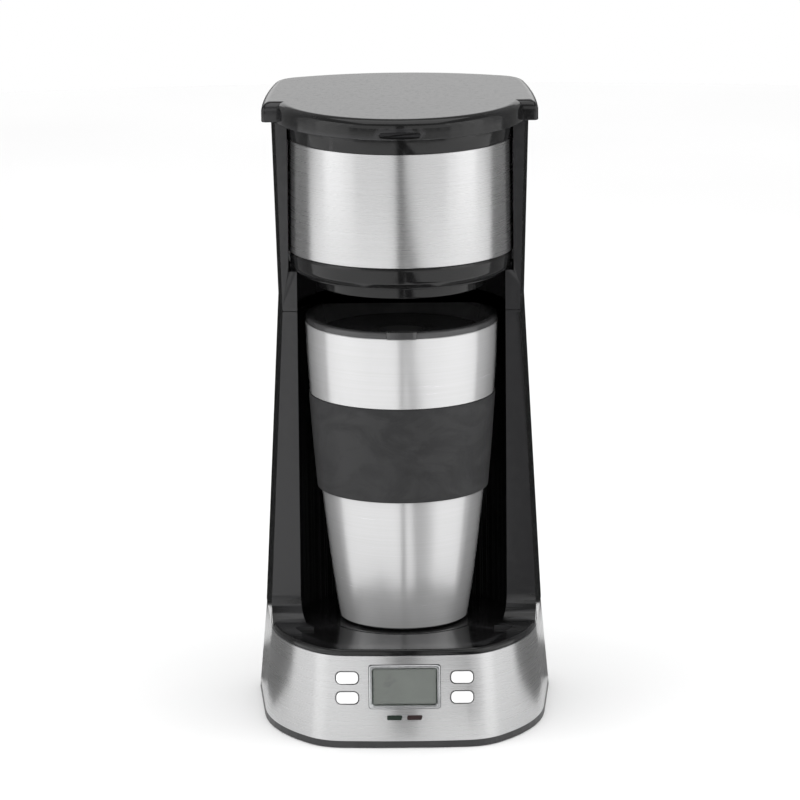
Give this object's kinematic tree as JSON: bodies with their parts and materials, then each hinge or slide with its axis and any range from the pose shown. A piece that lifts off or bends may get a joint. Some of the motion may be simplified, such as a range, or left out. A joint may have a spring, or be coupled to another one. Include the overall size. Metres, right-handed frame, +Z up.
{
  "type": "drip coffee maker",
  "caption": "Single-cup drip coffee maker with a hinged lid, a steel-sleeved brew head, a timer panel and a lidded steel travel mug standing in its niche.",
  "frame": {"origin": "middle of the footprint, on the surface the machine stands on, under the axis of the mug and the brew head", "axes": "+Z up, +X to the right seen from the front, the control panel faces -Y"},
  "size_m": [0.1424, 0.1482, 0.302],
  "materials": {
    "black_gloss": "glossy black moulded plastic",
    "black_matte": "fine-textured black moulded plastic",
    "brushed_steel": "brushed stainless steel, brushed round the body",
    "cast_aluminium": "as-cast aluminium",
    "circuit_board": "green circuit board",
    "clear_led": "clear epoxy",
    "dark_rubber": "matt black rubber",
    "display_grey": "grey-green display at rest",
    "display_window": "clear display window",
    "gold_mesh": "gold-tone filter mesh",
    "green_lens": "dark green indicator lens, unlit",
    "grey_rubber": "matt dark grey rubber with faint marbling",
    "heating_rod": "heat-darkened steel rod",
    "mug_plastic": "dark moulded plastic",
    "plain_steel": "plain turned or pressed steel",
    "red_lens": "dark red indicator lens, unlit",
    "silicone_hose": "milky silicone",
    "silver_frame": "silver plated frame",
    "smoke_plastic": "smoke-grey moulded tank",
    "white_plastic": "glossy white plastic",
    "wire_brown": "brown wire insulation",
    "wire_grey": "grey wire insulation"
  },
  "bodies": {
    "housing": {"bottom_cover": "black_matte", "rubber_feet": "dark_rubber", "cover_screws": "plain_steel", "lower_body": "black_gloss", "deck_plate": "black_gloss", "steel_band": "brushed_steel", "lcd_frame": "silver_frame", "lcd_window": "display_window", "lcd_module": "display_grey", "button_guide": "black_matte", "led_lens_left": "green_lens", "led_lens_right": "red_lens", "control_board": "circuit_board", "tact_switches": "black_matte", "indicator_leds": "clear_led", "power_board": "circuit_board", "power_parts": "black_matte", "board_screws": "plain_steel", "heater_block": "cast_aluminium", "heater_element": "heating_rod", "heater_bracket": "plain_steel", "bracket_screws": "plain_steel", "thermostat": "white_plastic", "thermal_fuse": "white_plastic", "cold_hose": "silicone_hose", "hot_hose": "silicone_hose", "hose_clips": "plain_steel", "valve_body": "white_plastic", "riser_tube": "plain_steel", "water_spout": "black_matte", "cord_gland": "black_matte", "mains_wires": "wire_brown", "panel_wires": "wire_grey", "upper_body": "black_gloss", "water_tank": "smoke_plastic", "tank_seal": "dark_rubber", "head_bottom_ring": "black_gloss", "head_steel_sleeve": "brushed_steel", "head_top_ring": "black_gloss", "brew_basket": "black_matte", "filter_frame": "black_matte", "filter_mesh": "gold_mesh"},
    "lid": {"lid_shell": "black_gloss", "lid_liner": "black_matte", "hinge_pins": "plain_steel"},
    "program_button": {"button_program": "white_plastic"},
    "hour_button": {"button_hour": "white_plastic"},
    "power_button": {"button_power": "white_plastic"},
    "minute_button": {"button_minute": "white_plastic"},
    "valve_ball": {"check_ball": "plain_steel"},
    "mug": {"mug_shell": "brushed_steel", "mug_liner": "mug_plastic", "mug_grip": "grey_rubber", "mug_foot": "dark_rubber"},
    "mug_lid": {"mug_lid_cap": "mug_plastic", "mug_lid_seal": "dark_rubber"}
  },
  "joints": [
    {"name": "lid_hinge", "type": "hinge", "parent": "housing", "child": "lid", "pos_m": [0, 0.064, 0.2971], "axis": [-1, 0, 0], "range_deg": [0, 95]},
    {"name": "program_press", "type": "slide", "parent": "housing", "child": "program_button", "axis": [0, 0.9958, -0.0918], "range_m": [0, 0.0012], "stiffness_N_per_m": 400},
    {"name": "hour_press", "type": "slide", "parent": "housing", "child": "hour_button", "axis": [0, 0.9958, -0.0918], "range_m": [0, 0.0012], "stiffness_N_per_m": 400},
    {"name": "power_press", "type": "slide", "parent": "housing", "child": "power_button", "axis": [0, 0.9958, -0.0918], "range_m": [0, 0.0012], "stiffness_N_per_m": 400},
    {"name": "minute_press", "type": "slide", "parent": "housing", "child": "minute_button", "axis": [0, 0.9958, -0.0918], "range_m": [0, 0.0012], "stiffness_N_per_m": 400},
    {"name": "ball_lift", "type": "slide", "parent": "housing", "child": "valve_ball", "axis": [0, 0, 1], "range_m": [0, 0.002]},
    {"name": "mug_slide", "type": "slide", "parent": "housing", "child": "mug", "axis": [0, -0.9976, 0.0698], "range_m": [0, 0.13]},
    {"name": "mug_lid_turn", "type": "hinge", "parent": "mug", "child": "mug_lid", "pos_m": [0, 0, 0.19], "axis": [0, 0, 1], "range_deg": [0, 60]}
  ]
}
